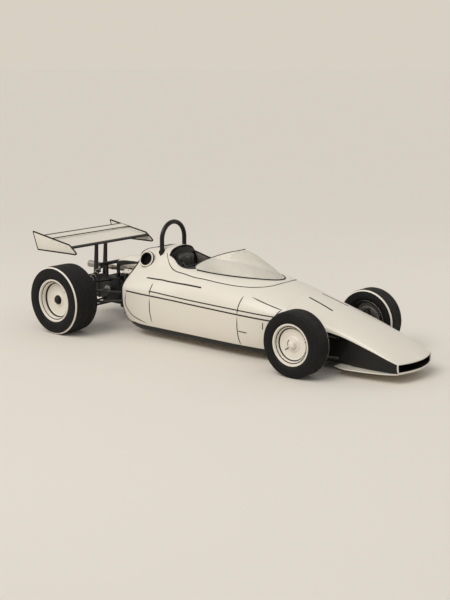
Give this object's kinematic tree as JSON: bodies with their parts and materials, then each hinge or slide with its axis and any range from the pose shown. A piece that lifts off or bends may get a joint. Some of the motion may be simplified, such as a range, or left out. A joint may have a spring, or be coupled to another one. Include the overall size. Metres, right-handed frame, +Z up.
{
  "type": "open-wheel racing car",
  "caption": "Open-wheel single-seat racing car with a wedge nose, wrap-round screen, roll hoop, exposed engine and low rear wing; wheels roll and steer.",
  "frame": {"origin": "on the ground under the middle of the car", "axes": "+X forward, +Y to the car's left, +Z up"},
  "size_m": [4.035, 1.75, 1.0549],
  "materials": {
    "body_paint": "gloss",
    "black_paint": "satin",
    "tyre": "matt",
    "rim_paint": "gloss",
    "steel": "satin",
    "casting": "cast",
    "exhaust_steel": "heat-stained",
    "acrylic": "clear",
    "seat_cover": "matt",
    "black_plastic": "matt"
  },
  "bodies": {
    "chassis": {"tub": "body_paint", "footbox": "black_paint", "engine_cover": "body_paint", "intake_ducts": "black_paint", "cockpit_surround": "body_paint", "nose_cone": "body_paint", "nose_pan": "black_paint", "nose_splitter": "body_paint", "windscreen": "acrylic", "roll_hoop": "black_paint", "firewall": "black_paint", "headrest": "seat_cover", "seat": "seat_cover", "dashboard": "black_paint", "radiator": "casting", "engine": "casting", "intake_trumpets": "steel", "exhaust": "exhaust_steel", "air_scoop": "body_paint", "gearbox": "casting", "wing_planes": "body_paint", "wing_end_plates": "body_paint", "wing_pylons": "black_paint", "front_wishbones": "black_paint", "front_dampers": "steel", "rack_housing": "casting", "rear_uprights": "casting", "rear_links": "black_paint", "rear_dampers": "steel"},
    "knuckle_left": {"front_upright_left": "casting"},
    "knuckle_right": {"front_upright_right": "casting"},
    "steering_rack": {"steering_rack": "steel"},
    "steering_wheel": {"steering_wheel": "black_plastic"},
    "front_wheel_left": {"front_tyre_left": "tyre", "front_rim_left": "rim_paint", "front_hub_left": "steel"},
    "front_wheel_right": {"front_tyre_right": "tyre", "front_rim_right": "rim_paint", "front_hub_right": "steel"},
    "rear_wheel_left": {"rear_tyre_left": "tyre", "rear_rim_left": "rim_paint", "rear_hub_left": "steel"},
    "rear_wheel_right": {"rear_tyre_right": "tyre", "rear_rim_right": "rim_paint", "rear_hub_right": "steel"}
  },
  "joints": [
    {"name": "steer_left", "type": "hinge", "parent": "chassis", "child": "knuckle_left", "pos_m": [1.1875, 0.49, 0.274], "axis": [0, 0, 1], "range_deg": [-18, 18]},
    {"name": "steer_right", "type": "hinge", "parent": "chassis", "child": "knuckle_right", "pos_m": [1.1875, -0.49, 0.274], "axis": [0, 0, 1], "range_deg": [-18, 18]},
    {"name": "steering_wheel_turn", "type": "hinge", "parent": "chassis", "child": "steering_wheel", "pos_m": [0.2325, 0, 0.578], "axis": [-0.9703, 0, 0.2419], "range_deg": [-110, 110]},
    {"name": "rack_slide", "type": "slide", "parent": "chassis", "child": "steering_rack", "axis": [0, 1, 0], "range_m": [-0.027, 0.027]},
    {"name": "front_spin_left", "type": "hinge", "parent": "knuckle_left", "child": "front_wheel_left", "pos_m": [1.1875, 0.5615, 0.274], "axis": [0, 1, 0], "continuous": true},
    {"name": "front_spin_right", "type": "hinge", "parent": "knuckle_right", "child": "front_wheel_right", "pos_m": [1.1875, -0.5615, 0.274], "axis": [0, 1, 0], "continuous": true},
    {"name": "rear_spin_left", "type": "hinge", "parent": "chassis", "child": "rear_wheel_left", "pos_m": [-1.3725, 0.73, 0.32], "axis": [0, 1, 0], "continuous": true},
    {"name": "rear_spin_right", "type": "hinge", "parent": "chassis", "child": "rear_wheel_right", "pos_m": [-1.3725, -0.73, 0.32], "axis": [0, 1, 0], "continuous": true}
  ],
  "couplings": [
    {"joint": "steer_right", "follows": "steer_left", "ratio": 1},
    {"joint": "steering_wheel_turn", "follows": "steer_left", "ratio": 6},
    {"joint": "rack_slide", "follows": "steer_left", "m_per_rad": 0.08}
  ]
}
